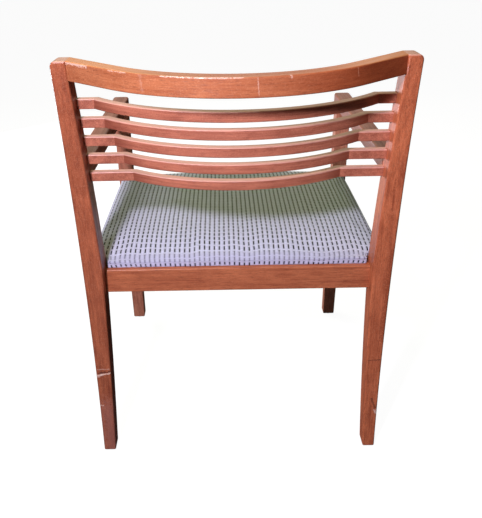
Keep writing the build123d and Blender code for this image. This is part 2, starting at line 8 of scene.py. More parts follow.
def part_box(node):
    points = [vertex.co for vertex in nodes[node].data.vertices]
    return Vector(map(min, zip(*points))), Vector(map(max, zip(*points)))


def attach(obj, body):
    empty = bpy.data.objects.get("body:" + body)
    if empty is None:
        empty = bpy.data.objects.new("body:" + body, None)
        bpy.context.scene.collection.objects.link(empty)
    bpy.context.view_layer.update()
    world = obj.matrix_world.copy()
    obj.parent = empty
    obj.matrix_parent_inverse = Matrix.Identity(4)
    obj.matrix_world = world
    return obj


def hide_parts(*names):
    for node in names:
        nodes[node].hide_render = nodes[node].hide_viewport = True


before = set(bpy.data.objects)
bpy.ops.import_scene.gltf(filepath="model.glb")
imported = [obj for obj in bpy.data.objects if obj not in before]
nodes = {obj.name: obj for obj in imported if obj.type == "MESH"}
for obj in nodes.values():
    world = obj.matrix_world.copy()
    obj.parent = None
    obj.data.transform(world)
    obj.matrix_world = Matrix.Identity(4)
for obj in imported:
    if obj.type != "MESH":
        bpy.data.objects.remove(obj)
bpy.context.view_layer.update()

# Rear posts: one bowed length of cherry-stained hardwood each, from the floor to the crest.
# They are sawn, rounded along their edges and sprayed with a thin satin lacquer, so the straight
# grain runs up the post and shows through. Knocks have cut through the stain near the floor.


def node_group(name, inputs, outputs):
    """An empty shader node group with its named sockets and its two end nodes."""
    group = bpy.data.node_groups.new(name, "ShaderNodeTree")
    for label, kind in inputs:
        group.interface.new_socket(label, in_out="INPUT", socket_type=kind)
    for label, kind in outputs:
        group.interface.new_socket(label, in_out="OUTPUT", socket_type=kind)
    start = group.nodes.new("NodeGroupInput")
    end = group.nodes.new("NodeGroupOutput")
    return group, start.outputs, end.inputs


def place(tree, kind, settings=None, links=None):
    """A node with its settings, and its inputs set to values or linked to other nodes' outputs."""
    node = tree.nodes.new(kind)
    for name, value in (settings or {}).items():
        setattr(node, name, value)
    for key, value in (links or {}).items():
        if isinstance(value, bpy.types.NodeSocket):
            tree.links.new(value, node.inputs[key])
        else:
            node.inputs[key].default_value = value
    return node


def stretched_noise(tree, vector, stretch, detail, roughness, distortion=0.0):
    """Noise on coordinates that are scaled by different amounts along and across the grain."""
    scaled = place(tree, "ShaderNodeMapping", links={"Vector": vector, "Scale": stretch})
    noise = place(
        tree,
        "ShaderNodeTexNoise",
        links={
            "Vector": scaled.outputs["Vector"],
            "Scale": 1.0,
            "Detail": detail,
            "Roughness": roughness,
            "Distortion": distortion,
        },
    )
    return noise.outputs["Fac"]


def remap(tree, value, low, high, new_low=0.0, new_high=1.0):
    """A value moved smoothly from one range to another and held at its ends."""
    node = place(
        tree,
        "ShaderNodeMapRange",
        {"interpolation_type": "SMOOTHSTEP", "clamp": True},
        {"Value": value, "From Min": low, "From Max": high, "To Min": new_low, "To Max": new_high},
    )
    return node.outputs["Result"]


def arithmetic(tree, operation, first, second=0.0):
    """One arithmetic step."""
    return place(tree, "ShaderNodeMath", {"operation": operation}, {0: first, 1: second}).outputs[0]


def vector_step(tree, operation, first, second, output="Vector"):
    """One step of vector arithmetic."""
    node = place(tree, "ShaderNodeVectorMath", {"operation": operation}, {0: first, 1: second})
    return node.outputs[output]


def mixed(tree, factor, first, second, blend="MIX"):
    """Two colours mixed by a factor."""
    settings = {"data_type": "RGBA", "blend_type": blend}
    return place(tree, "ShaderNodeMix", settings, {0: factor, 6: first, 7: second}).outputs[2]


grain_group, grain_in, grain_out = node_group(
    "cherry_grain",
    [("Grain", "NodeSocketVector"), ("Pale", "NodeSocketColor"), ("Deep", "NodeSocketColor")],
    [("Color", "NodeSocketColor"), ("Roughness", "NodeSocketFloat"), ("Height", "NodeSocketFloat")],
)
broad = stretched_noise(grain_group, grain_in["Grain"], (2.0, 24.0, 24.0), 2.0, 0.5, 0.6)
streaks = stretched_noise(grain_group, grain_in["Grain"], (6.0, 190.0, 190.0), 4.0, 0.6, 0.3)
fine = stretched_noise(grain_group, grain_in["Grain"], (22.0, 620.0, 620.0), 3.0, 0.65)
blotch = stretched_noise(grain_group, grain_in["Grain"], (16.0, 46.0, 46.0), 3.0, 0.6, 1.0)
pores = stretched_noise(grain_group, grain_in["Grain"], (90.0, 1500.0, 1500.0), 1.0, 0.5)
flecks = stretched_noise(grain_group, grain_in["Grain"], (500.0, 700.0, 700.0), 2.0, 0.7)
figure = arithmetic(grain_group, "MULTIPLY", remap(grain_group, broad, 0.3, 0.7), 0.22)
grain_layers = (
    (blotch, 0.3, 0.7, 0.30),
    (streaks, 0.36, 0.66, 0.32),
    (fine, 0.36, 0.64, 0.28),
)
for layer, low, high, share in grain_layers:
    layer_share = arithmetic(grain_group, "MULTIPLY", remap(grain_group, layer, low, high), share)
    figure = arithmetic(grain_group, "ADD", figure, layer_share)
pore_marks = remap(grain_group, pores, 0.58, 0.72)
pore_colour = (0.10, 0.024, 0.012, 1)
fleck_colour = (0.85, 0.42, 0.24, 1)
wood_colour = mixed(grain_group, figure, grain_in["Pale"], grain_in["Deep"])
wood_colour = mixed(
    grain_group, arithmetic(grain_group, "MULTIPLY", pore_marks, 0.55), wood_colour, pore_colour
)
wood_colour = mixed(
    grain_group, remap(grain_group, flecks, 0.45, 0.8, 0.0, 0.30), wood_colour, fleck_colour
)
grain_group.links.new(wood_colour, grain_out["Color"])
grain_group.links.new(remap(grain_group, streaks, 0.2, 0.8, 0.34, 0.50), grain_out["Roughness"])
grain_group.links.new(
    arithmetic(
        grain_group,
        "SUBTRACT",
        arithmetic(grain_group, "MULTIPLY", fine, 0.6),
        arithmetic(grain_group, "MULTIPLY", pore_marks, 0.5),
    ),
    grain_out["Height"],
)

mark_group, mark_in, mark_out = node_group(
    "rubbed_mark",
    [
        ("Point", "NodeSocketVector"),
        ("From", "NodeSocketVector"),
        ("To", "NodeSocketVector"),
        ("Width", "NodeSocketFloat"),
        ("Strength", "NodeSocketFloat"),
    ],
    [("Mask", "NodeSocketFloat")],
)
mark_run = vector_step(mark_group, "SUBTRACT", mark_in["To"], mark_in["From"])
mark_reach = vector_step(mark_group, "SUBTRACT", mark_in["Point"], mark_in["From"])
mark_share = place(
    mark_group,
    "ShaderNodeMath",
    {"operation": "DIVIDE", "use_clamp": True},
    {
        0: vector_step(mark_group, "DOT_PRODUCT", mark_reach, mark_run, "Value"),
        1: vector_step(mark_group, "DOT_PRODUCT", mark_run, mark_run, "Value"),
    },
).outputs[0]
mark_along = place(
    mark_group, "ShaderNodeVectorMath", {"operation": "SCALE"}, {0: mark_run, "Scale": mark_share}
).outputs["Vector"]
mark_away = vector_step(mark_group, "DISTANCE", mark_reach, mark_along, "Value")
mark_ragged = stretched_noise(mark_group, mark_in["Point"], (420.0, 420.0, 420.0), 3.0, 0.7)
mark_span = arithmetic(
    mark_group, "MULTIPLY", mark_in["Width"], remap(mark_group, mark_ragged, 0.36, 0.64, 0.15, 1.6)
)
mark_mask = remap(mark_group, arithmetic(mark_group, "DIVIDE", mark_away, mark_span), 0.45, 1.0, 1.0, 0.0)
mark_group.links.new(arithmetic(mark_group, "MULTIPLY", mark_mask, mark_in["Strength"]), mark_out["Mask"])


def new_material(name):
    """A node material with its tree and its Principled shader."""
    material = bpy.data.materials.new(name)
    material.use_nodes = True
    return material, material.node_tree, material.node_tree.nodes["Principled BSDF"]


def dress(node_name, material):
    """Gives a CAD node its material."""
    mesh = nodes[node_name].data
    mesh.materials.clear()
    mesh.materials.append(material)


def object_point(tree):
    """Where a shaded point is, in metres in the chair's own frame."""
    return place(tree, "ShaderNodeTexCoord").outputs["Object"]


def stained_wood(name, along_grain, pale, deep, marks=()):
    """Stained and lacquered hardwood with its marks, on grain coordinates that a function makes."""
    material, tree, shader = new_material(name)
    grain = place(
        tree,
        "ShaderNodeGroup",
        {"node_tree": grain_group},
        {"Grain": along_grain(tree), "Pale": pale, "Deep": deep},
    )
    colour = grain.outputs["Color"]
    for start, end, width, strength, mark_colour in marks:
        mark = place(
            tree,
            "ShaderNodeGroup",
            {"node_tree": mark_group},
            {"Point": object_point(tree), "From": start, "To": end, "Width": width, "Strength": strength},
        )
        colour = mixed(tree, mark.outputs["Mask"], colour, mark_colour)
    bump = place(
        tree,
        "ShaderNodeBump",
        links={"Strength": 0.25, "Distance": 0.0006, "Height": grain.outputs["Height"]},
    )
    tree.links.new(colour, shader.inputs["Base Color"])
    tree.links.new(grain.outputs["Roughness"], shader.inputs["Roughness"])
    tree.links.new(bump.outputs["Normal"], shader.inputs["Normal"])
    shader.inputs["Specular IOR Level"].default_value = 0.4
    shader.inputs["Coat Weight"].default_value = 0.15
    shader.inputs["Coat Roughness"].default_value = 0.25
    return material, tree, shader, colour


def straight_grain(turn, offset):
    """Grain coordinates for a straight piece, turned so that the grain lies along X."""

    def make(tree):
        mapping = place(
            tree,
            "ShaderNodeMapping",
            links={"Vector": object_point(tree), "Rotation": turn, "Location": offset},
        )
        return mapping.outputs["Vector"]

    return make


def on_back(node_name, x, z):
    """The point on a piece's back face at a distance across the chair and a height."""
    found, point, _, _ = nodes[node_name].ray_cast(Vector((x, 1.0, z)), Vector((0, -1, 0)))
    return point if found else Vector((x, 0, z))


bare_wood = (0.88, 0.62, 0.50, 1)
dark_dirt_and_gouge_shadow = (0.10, 0.030, 0.020, 1)
deep_stain_and_edge_shade = (0.24, 0.045, 0.018, 1)
scuffed_wood = (0.42, 0.19, 0.155, 1)
post_top_highlight_colour = (0.84, 0.50, 0.40, 1)
upright = (0, math.pi / 2, 0)
highlight_edge = 0.0008
post_highlight_depth = 0.0024
post_marks = {
    "back_post_left": [
        ((0.2660, 0.0100), (0.2680, 0.1100), 0.0300, 0.4, scuffed_wood),
        # Painted shadow: the next mark is a dark line of shade along the upper lip of the gouge.
        ((0.2805, 0.1945), (0.2570, 0.1985), 0.0026, 0.85, dark_dirt_and_gouge_shadow),
        ((0.2805, 0.1900), (0.2570, 0.1945), 0.0024, 1.0, bare_wood),
        ((0.2808, 0.1885), (0.2795, 0.1890), 0.0036, 1.0, bare_wood),
        ((0.2805, 0.1167), (0.2754, 0.1165), 0.0013, 0.7, bare_wood),
        ((0.2810, 0.2120), (0.275, 0.2100), 0.0012, 0.5, dark_dirt_and_gouge_shadow),
        ((0.2800, 0.2040), (0.256, 0.2050), 0.0012, 0.4, bare_wood),
    ],
    "back_post_right": [
        ((-0.2570, 0.2150), (-0.2800, 0.2170), 0.0016, 0.7, dark_dirt_and_gouge_shadow),
        ((-0.2800, 0.0925), (-0.2808, 0.0880), 0.0040, 1.0, bare_wood),
        ((-0.2710, 0.1222), (-0.2789, 0.0997), 0.0025, 0.6, dark_dirt_and_gouge_shadow),
        # Painted shade: the next mark darkens the rounded outer edge of the right post, which faces away
        # from the key.
        ((-0.2815, 0.4450), (-0.2815, 0.2600), 0.0080, 0.5, deep_stain_and_edge_shade),
        ((-0.2680, 0.6000), (-0.2690, 0.5400), 0.0016, 0.6, deep_stain_and_edge_shade),
    ],
}
post_offsets = {"back_post_left": (0.0, 0.31, 0.17), "back_post_right": (1.3, 0.87, 0.42)}
# The right post is painted lighter and the left post darker than the same wood: painted light and shade for
# the key's fall-off across the chair.
post_pale_with_painted_light = {"back_post_left": (0.51, 0.142, 0.062, 1), "back_post_right": (0.79, 0.225, 0.094, 1)}
post_deep_with_painted_light = {"back_post_left": (0.22, 0.045, 0.019, 1), "back_post_right": (0.34, 0.070, 0.027, 1)}
for post_name, marks in post_marks.items():
    post_wood, post_tree, post_shader, post_colour = stained_wood(
        f"{post_name}_wood",
        straight_grain(upright, post_offsets[post_name]),
        post_pale_with_painted_light[post_name],
        post_deep_with_painted_light[post_name],
        [(on_back(post_name, *start), on_back(post_name, *end), *look) for start, end, *look in marks],
    )
    # Painted highlight: the post's top end is painted pale, as light glancing off it.
    post_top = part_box(post_name)[1].z
    post_place = place(post_tree, "ShaderNodeSeparateXYZ", links={"Vector": object_point(post_tree)})
    post_top_highlight = remap(
        post_tree, post_place.outputs["Z"], post_top - post_highlight_depth, post_top - highlight_edge, 0.0, 0.6
    )
    post_colour = mixed(post_tree, post_top_highlight, post_colour, post_top_highlight_colour)
    post_tree.links.new(post_colour, post_shader.inputs["Base Color"])
    dress(post_name, post_wood)

# Crest rail: one bent rail of the same wood between the post tops, its grain following the bend.
# The lacquer is rubbed and chipped through to pale wood along the upper back edge, where hands
# lift the chair, and scratched down from it in a few places.
crest_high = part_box("crest_rail")[1]
crest_radius = 0.285
grain_per_radian = 0.3


def bent_grain(centre_y, offset):
    """Grain coordinates that follow a bend about an upright axis on the chair's middle line."""

    def make(tree):
        moved = place(
            tree, "ShaderNodeMapping", links={"Vector": object_point(tree), "Location": (0, -centre_y, 0)}
        )
        parts = place(tree, "ShaderNodeSeparateXYZ", links={"Vector": moved.outputs["Vector"]})
        turn = arithmetic(tree, "ARCTAN2", parts.outputs["X"], parts.outputs["Y"])
        level = vector_step(tree, "MULTIPLY", moved.outputs["Vector"], (1, 1, 0))
        bent = place(
            tree,
            "ShaderNodeCombineXYZ",
            links={
                "X": arithmetic(tree, "MULTIPLY", turn, grain_per_radian),
                "Y": vector_step(tree, "LENGTH", level, (0, 0, 0), "Value"),
                "Z": parts.outputs["Z"],
            },
        )
        shifted = place(
            tree, "ShaderNodeMapping", links={"Vector": bent.outputs["Vector"], "Location": offset}
        )
        return shifted.outputs["Vector"]

    return make


crest_edge_drop = 0.0025
worn_step = 0.028
scratch_slant = 0.002
worn_stretches = (
    (0.258, 0.222, 0.0030, 0.7),
    (0.184, 0.157, 0.0013, 0.4),
    (0.106, -0.006, 0.0014, 0.75),
)
crest_marks = []
for start_x, end_x, width, strength in worn_stretches:
    steps = max(1, round(abs(start_x - end_x) / worn_step))
    worn_xs = [start_x + (end_x - start_x) * step / steps for step in range(steps + 1)]
    worn_points = [on_back("crest_rail", x, crest_high.z - crest_edge_drop) for x in worn_xs]
    for start, end in zip(worn_points, worn_points[1:]):
        crest_marks.append((start, end, width, strength, bare_wood))
for scratch_x, top_drop, low_drop, width, strength in (
    (0.135, 0.004, 0.024, 0.0030, 0.12),
    (-0.025, 0.003, 0.027, 0.0010, 0.45),
    (-0.168, 0.003, 0.015, 0.0010, 0.6),
    (-0.069, 0.002, 0.006, 0.0020, 0.6),
):
    crest_marks.append(
        (
            on_back("crest_rail", scratch_x, crest_high.z - top_drop),
            on_back("crest_rail", scratch_x - scratch_slant, crest_high.z - low_drop),
            width,
            strength,
            bare_wood,
        )
    )
crest_wood, crest_tree, crest_shader, crest_colour = stained_wood(
    "crest_rail_wood",
    bent_grain(crest_high.y - crest_radius, (0.2, 0.5, 0.9)),
    (0.56, 0.195, 0.082, 1),
    (0.34, 0.088, 0.032, 1),
    crest_marks,
)
crest_place = place(crest_tree, "ShaderNodeSeparateXYZ", links={"Vector": object_point(crest_tree)})
crest_stave = remap(crest_tree, crest_place.outputs["X"], 0.043, 0.046, 0.16, 0.0)
crest_colour = mixed(crest_tree, crest_stave, crest_colour, (0.38, 0.085, 0.036, 1))
# Painted shade: the crest is painted darker and more orange towards its right end, which turns away from
# the key.
crest_right_painted_shade = remap(crest_tree, crest_place.outputs["X"], -0.20, -0.02, 0.8, 0.0)
crest_colour = mixed(crest_tree, crest_right_painted_shade, crest_colour, (0.92, 0.52, 0.34, 1), "MULTIPLY")
# Painted highlight: the crest's upper face is painted lighter and more orange, as light falling on it.
crest_highlight_depth = 0.0022
crest_top_highlight = remap(
    crest_tree,
    crest_place.outputs["Z"],
    crest_high.z - crest_highlight_depth,
    crest_high.z - highlight_edge,
    0.0,
    0.75,
)
crest_colour = mixed(crest_tree, crest_top_highlight, crest_colour, (0.76, 0.29, 0.10, 1))
crest_tree.links.new(crest_colour, crest_shader.inputs["Base Color"])
dress("crest_rail", crest_wood)

# Back slats: five thin bowed slats sawn from the same stained hardwood, each tenoned into both posts.
# The arcs are painted darker just inside the knees, where the bow leaves the straight ends: painted shade
# in the creases.
slat_radius = 0.320
slat_highlight_depth = 0.0020
slat_highlight_colour = (0.88, 0.50, 0.42, 1)
slat_knees = (0.229, 0.216, 0.2035, 0.191, 0.178)
for slat_number, slat_knee in enumerate(slat_knees, 1):
    slat_name = f"back_slat_{slat_number}"
    slat_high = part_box(slat_name)[1]
    slat_wood, slat_tree, slat_shader, slat_colour = stained_wood(
        f"{slat_name}_wood",
        bent_grain(slat_high.y - slat_radius, (0.37 * slat_number, 0.61 * slat_number, 0.29 * slat_number)),
        (0.58, 0.198, 0.118, 1),
        (0.25, 0.062, 0.036, 1),
    )
    slat_place = place(slat_tree, "ShaderNodeSeparateXYZ", links={"Vector": object_point(slat_tree)})
    # Painted shade: darkest at each knee and fading along the arc.
    from_knee = arithmetic(
        slat_tree, "SUBTRACT", slat_knee, arithmetic(slat_tree, "ABSOLUTE", slat_place.outputs["X"])
    )
    knee_painted_shade = arithmetic(
        slat_tree,
        "MULTIPLY",
        remap(slat_tree, from_knee, -0.0005, 0.0005),
        remap(slat_tree, from_knee, 0.0, 0.045, 0.55, 0.0),
    )
    slat_colour = mixed(slat_tree, knee_painted_shade, slat_colour, (0.16, 0.030, 0.016, 1))
    # Painted highlight: each slat's upper face is painted pale pink, as light glancing off it.
    slat_top_highlight = remap(
        slat_tree, slat_place.outputs["Z"], slat_high.z - slat_highlight_depth, slat_high.z - highlight_edge, 0.0, 0.55
    )
    slat_colour = mixed(slat_tree, slat_top_highlight, slat_colour, slat_highlight_colour)
    slat_tree.links.new(slat_colour, slat_shader.inputs["Base Color"])
    dress(slat_name, slat_wood)

# Front legs: square legs of the same stained hardwood, upright to the arms and slanted forward below
# the seat. The seat rails and arms are dowelled into them.
for leg_name, leg_offset in (("front_leg_left", (0.6, 0.2, 0.75)), ("front_leg_right", (2.1, 0.44, 0.11))):
    leg_wood, _, _, _ = stained_wood(
        f"{leg_name}_wood",
        straight_grain(upright, leg_offset),
        (0.76, 0.310, 0.190, 1),
        (0.38, 0.118, 0.070, 1),
    )
    dress(leg_name, leg_wood)

# Arms: flat boards of the same stained hardwood with eased edges. Each is dowelled into a rear post
# and set down on two dowels in its front leg.
lengthwise = (0, 0, -math.pi / 2)
# Painted shade: the arms' colours are darker than the same wood elsewhere, as if they stood in shadow.
for arm_name, arm_offset in (("arm_left", (0.9, 0.15, 0.33)), ("arm_right", (0.1, 0.71, 0.58))):
    arm_shaded_wood, _, _, _ = stained_wood(
        f"{arm_name}_wood",
        straight_grain(lengthwise, arm_offset),
        (0.42, 0.125, 0.062, 1),
        (0.22, 0.050, 0.024, 1),
    )
    dress(arm_name, arm_shaded_wood)

# Seat rails: four square rails of the same stained hardwood, sawn straight and lacquered like the
# posts. Two dowels at each end hold them between the posts and legs.
crosswise = (0, 0, 0)
for rail_name, rail_turn, rail_offset in (
    ("rear_seat_rail", crosswise, (0.4, 0.22, 0.51)),
    ("front_seat_rail", crosswise, (1.7, 0.93, 0.27)),
    ("side_seat_rail_left", lengthwise, (0.8, 0.37, 0.66)),
    ("side_seat_rail_right", lengthwise, (2.4, 0.58, 0.05)),
):
    rail_wood, _, _, _ = stained_wood(
        f"{rail_name}_wood",
        straight_grain(rail_turn, rail_offset),
        (0.65, 0.204, 0.086, 1),
        (0.30, 0.066, 0.027, 1),
    )
    dress(rail_name, rail_wood)

# Corner blocks and dowels: bare pale hardwood that is never stained. The blocks are glued and screwed
# into the corners of the seat frame, and the dowels are glued into blind holes.
for block_name, block_turn in (
    ("corner_block_rear_left", crosswise),
    ("corner_block_rear_right", crosswise),
    ("corner_block_front_left", lengthwise),
    ("corner_block_front_right", lengthwise),
    ("crest_dowels", crosswise),
    ("arm_dowels", lengthwise),
    ("seat_rail_dowels", crosswise),
):
    block_wood, _, _, _ = stained_wood(
        f"{block_name}_wood",
        straight_grain(block_turn, (0.3, 0.3, 0.3)),
        (0.62, 0.46, 0.27, 1),
        (0.43, 0.29, 0.15, 1),
    )
    dress(block_name, block_wood)

# Screws, tee nuts, staples and nails: steel with a bright zinc plate, slightly dulled. They hold the
# corner blocks, the seat board, the cloths under it and the glides.
zinc, zinc_tree, zinc_shader = new_material("zinc_plate")
zinc_cloud = stretched_noise(zinc_tree, object_point(zinc_tree), (400.0, 400.0, 400.0), 3.0, 0.6)
zinc_shader.inputs["Metallic"].default_value = 1.0
zinc_colour = mixed(zinc_tree, zinc_cloud, (0.62, 0.63, 0.64, 1), (0.44, 0.45, 0.47, 1))
zinc_tree.links.new(zinc_colour, zinc_shader.inputs["Base Color"])
zinc_tree.links.new(remap(zinc_tree, zinc_cloud, 0.2, 0.8, 0.25, 0.5), zinc_shader.inputs["Roughness"])
for steel_name in ("corner_block_screws", "seat_screws", "seat_tee_nuts", "seat_staples", "glide_nails"):
    dress(steel_name, zinc)

# Seat board: a panel of bare plywood under the cushion, notched round the posts and legs. Four screws
# come up into it through the corner blocks.
board_wood, _, _, _ = stained_wood(
    "seat_board_ply",
    straight_grain(crosswise, (0.1, 0.2, 0.3)),
    (0.62, 0.45, 0.27, 1),
    (0.45, 0.30, 0.16, 1),
)
dress("seat_board", board_wood)

# Seat cushion: foam on the board under a woven cloth drawn down and stapled underneath.
# It is flat on the rails, crowned in the middle, rolled over at the edges and notched round the
# posts and legs. The cloth is plain between dark dashes woven in columns from back to front.
cover_low, cover_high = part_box("seat_cover")
post_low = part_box("back_post_left")[0]
leg_low, leg_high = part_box("front_leg_left")
side_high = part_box("side_seat_rail_left")[1]
cloth_room = 0.0015
pad_start = 0.0015
pad_voxel = 0.0055
notch_rear_x = post_low.x - cloth_room
notch_rear_y = side_high.y - cloth_room
notch_front_x = leg_low.x - cloth_room
notch_front_y = leg_high.y + cloth_room
pad_bottom = cover_low.z
pad_height = 0.033
middle_y = (cover_low.y + cover_high.y) / 2
half_depth = (cover_high.y - cover_low.y) / 2


def add_block(mesh, low, high):
    """A plain block between two corners, as a start for the pad."""
    made = bmesh.ops.create_cube(mesh, size=1.0)
    size = [high[axis] - low[axis] for axis in range(3)]
    middle = [(high[axis] + low[axis]) / 2 for axis in range(3)]
    bmesh.ops.scale(mesh, vec=size, verts=made["verts"])
    bmesh.ops.translate(mesh, vec=middle, verts=made["verts"])


pad_form = bmesh.new()
pad_top = pad_bottom + pad_height
add_block(
    pad_form,
    (cover_low.x + pad_start, notch_front_y + pad_start, pad_bottom),
    (cover_high.x - pad_start, notch_rear_y - pad_start, pad_top),
)
add_block(
    pad_form,
    (-notch_rear_x + pad_start, middle_y, pad_bottom),
    (notch_rear_x - pad_start, cover_high.y - pad_start, pad_top),
)
add_block(
    pad_form,
    (-notch_front_x + pad_start, cover_low.y + pad_start, pad_bottom),
    (notch_front_x - pad_start, middle_y, pad_top),
)
pad_mesh = bpy.data.meshes.new("seat_cushion")
pad_form.to_mesh(pad_mesh)
pad_form.free()
cushion = bpy.data.objects.new("seat_cushion", pad_mesh)
bpy.context.scene.collection.objects.link(cushion)
remesh = cushion.modifiers.new("remesh", "REMESH")
remesh.mode = "VOXEL"
remesh.voxel_size = pad_voxel
evaluated = cushion.evaluated_get(bpy.context.evaluated_depsgraph_get())
pad_mesh = bpy.data.meshes.new_from_object(evaluated)
cushion.modifiers.clear()
cushion.data = pad_mesh

# The cloth is cut flat: its coordinates run straight over the top and on down each side.
pad_form = bmesh.new()
pad_form.from_mesh(pad_mesh)
bmesh.ops.recalc_face_normals(pad_form, faces=pad_form.faces[:])
weave_map = pad_form.loops.layers.uv.new("weave")
corner_pull = 0.15
for face in pad_form.faces:
    face.smooth = True
    lean = [abs(part) for part in face.normal]
    for loop in face.loops:
        point = loop.vert.co
        drop = pad_top - point.z
        flat_x = point.x
        flat_y = point.y - middle_y
        if lean[1] > lean[0] and lean[1] > lean[2]:
            flat_y += math.copysign(drop, flat_y)
            flat_x += corner_pull * drop * point.x / cover_high.x
        elif lean[0] > lean[2]:
            flat_x += math.copysign(drop, flat_x)
        loop[weave_map].uv = (flat_x, flat_y)

# The foam is crowned before the cloth is drawn over it, and its edges are eased.
board_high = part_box("seat_board")[1]
edge_rise = 0.017
crown_rise = 0.036
side_drop = 0.006
side_roll = 0.014
roll_share = 0.35
for vert in pad_form.verts:
    along = min(1.0, abs(vert.co.y - middle_y) / half_depth)
    across = min(1.0, abs(vert.co.x) / cover_high.x)
    beyond = max(0.0, abs(vert.co.x) - (cover_high.x - side_roll)) / side_roll
    rise = edge_rise + (crown_rise - edge_rise) * math.sqrt(1 - along**4)
    rise -= side_drop * across**2
    rise *= 1 - roll_share * (1 - math.sqrt(max(0.0, 1 - beyond**2)))
    vert.co.z = pad_bottom + (vert.co.z - pad_bottom) * rise / pad_height
pad_cut = [vert.co.copy() for vert in pad_form.verts]


def soften(form, rounds):
    """Eases everything above the board's top edge."""
    for _ in range(rounds):
        upper = [vert for vert in form.verts if pad_cut[vert.index].z > board_high.z]
        bmesh.ops.smooth_vert(
            form, verts=upper, factor=0.5, use_axis_x=True, use_axis_y=True, use_axis_z=True
        )


pad_form.verts.index_update()
soften(pad_form, 3)
pad_form.to_mesh(pad_mesh)
pad_form.free()

staple_reach = 0.006
sim_frames = 20
swell = 0.003
held = cushion.vertex_groups.new(name="stapled")
held.add([v.index for v in pad_mesh.vertices if v.co.z < pad_bottom + staple_reach], 1.0, "REPLACE")
cloth = cushion.modifiers.new("cloth", "CLOTH")
cloth.settings.use_pressure = True
cloth.settings.uniform_pressure_force = 4.0
cloth.settings.vertex_group_mass = "stapled"
cloth.settings.effector_weights.gravity = 0.0
before = [v.co.copy() for v in pad_mesh.vertices]
scene = bpy.context.scene
for step in range(1, sim_frames + 1):
    scene.frame_set(step)
    evaluated = cushion.evaluated_get(bpy.context.evaluated_depsgraph_get())
    after = [v.co.copy() for v in evaluated.data.vertices]
cushion.modifiers.clear()
scene.frame_set(1)
for vert, old, new in zip(pad_mesh.vertices, before, after):
    move = new - old
    if move.length > swell:
        move = move.normalized() * swell
    vert.co = old + move

# Eased once more, then kept clear of the posts, the legs and the board, and subdivided.
notch_reach = 0.001
pad_form = bmesh.new()
pad_form.from_mesh(pad_mesh)
pad_form.verts.index_update()
soften(pad_form, 6)
for vert, cut in zip(pad_form.verts, pad_cut):
    if cut.z < board_high.z:
        vert.co = cut
    else:
        vert.co.z = max(vert.co.z, board_high.z + cloth_room)
    limit_x = cover_high.x
    if vert.co.y > notch_rear_y - notch_reach:
        limit_x = notch_rear_x
    if vert.co.y < notch_front_y + notch_reach:
        limit_x = notch_front_x
    vert.co.x = max(-limit_x, min(limit_x, vert.co.x))
    vert.co.y = max(cover_low.y, min(cover_high.y, vert.co.y))
    vert.co.z = max(pad_bottom, vert.co.z)
bmesh.ops.subdivide_edges(pad_form, edges=pad_form.edges[:], cuts=1, use_grid_fill=True, smooth=1.0)
pad_form.to_mesh(pad_mesh)
pad_form.free()

cloth_look, cloth_tree, cloth_shader = new_material("seat_cloth")
weave_point = place(cloth_tree, "ShaderNodeUVMap", {"uv_map": "weave"}).outputs["UV"]
weave_parts = place(cloth_tree, "ShaderNodeSeparateXYZ", links={"Vector": weave_point})
column_pitch = 0.0094
row_pitch = 0.0145
warp_pitch = 0.00118
weft_pitch = 0.00145
dash_half_width = 0.120
dash_half_length = 0.362


def repeat_place(value, pitch):
    """Where a point lies in its repeat, from 0 to 1."""
    return arithmetic(cloth_tree, "FRACT", arithmetic(cloth_tree, "DIVIDE", value, pitch))


def off_middle(value):
    """How far a place in a repeat lies from the repeat's middle."""
    return arithmetic(cloth_tree, "ABSOLUTE", arithmetic(cloth_tree, "SUBTRACT", value, 0.5))


def bar(value, half_width, soft):
    """One in the middle of a repeat and nothing outside the bar's half width."""
    return remap(cloth_tree, off_middle(value), half_width - soft, half_width + soft, 1.0, 0.0)


wobble = stretched_noise(cloth_tree, weave_point, (45.0, 45.0, 1.0), 2.0, 0.5)
wobble = arithmetic(cloth_tree, "MULTIPLY", arithmetic(cloth_tree, "SUBTRACT", wobble, 0.5), 0.0016)
column_place = repeat_place(arithmetic(cloth_tree, "ADD", weave_parts.outputs["X"], wobble), column_pitch)
weft_drift = stretched_noise(cloth_tree, weave_point, (16.0, 4.0, 1.0), 1.0, 0.5)
weft_drift = arithmetic(cloth_tree, "MULTIPLY", arithmetic(cloth_tree, "SUBTRACT", weft_drift, 0.5), 0.032)
weft_run = arithmetic(cloth_tree, "ADD", weave_parts.outputs["Y"], weft_drift)
row_place = repeat_place(arithmetic(cloth_tree, "ADD", weft_run, wobble), row_pitch)
dashes = arithmetic(
    cloth_tree,
    "MULTIPLY",
    bar(column_place, dash_half_width, 0.02),
    bar(row_place, dash_half_length, 0.03),
)
# Painted light along the rear roll: the dashes are faded there as a painted highlight, and the ground is
# darkened as painted shade.
past_edge = arithmetic(cloth_tree, "SUBTRACT", weave_parts.outputs["Y"], half_depth)
rear_roll_highlight_and_shade = arithmetic(
    cloth_tree,
    "MULTIPLY",
    remap(cloth_tree, past_edge, -0.018, -0.008),
    remap(cloth_tree, past_edge, 0.012, 0.020, 1.0, 0.0),
)
dashes = arithmetic(cloth_tree, "MULTIPLY", dashes, remap(cloth_tree, rear_roll_highlight_and_shade, 0.0, 1.0, 1.0, 0.5))
fading = stretched_noise(cloth_tree, weave_point, (95.0, 42.0, 1.0), 2.0, 0.6)
dashes = arithmetic(cloth_tree, "MULTIPLY", dashes, remap(cloth_tree, fading, 0.28, 0.46, 0.6, 1.0))
thread_x = repeat_place(weave_parts.outputs["X"], warp_pitch)
thread_y = repeat_place(weave_parts.outputs["Y"], weft_pitch)
threads = arithmetic(cloth_tree, "MAXIMUM", bar(thread_x, 0.30, 0.2), bar(thread_y, 0.30, 0.2))
slub = stretched_noise(cloth_tree, weave_point, (60.0, 700.0, 1.0), 3.0, 0.6)
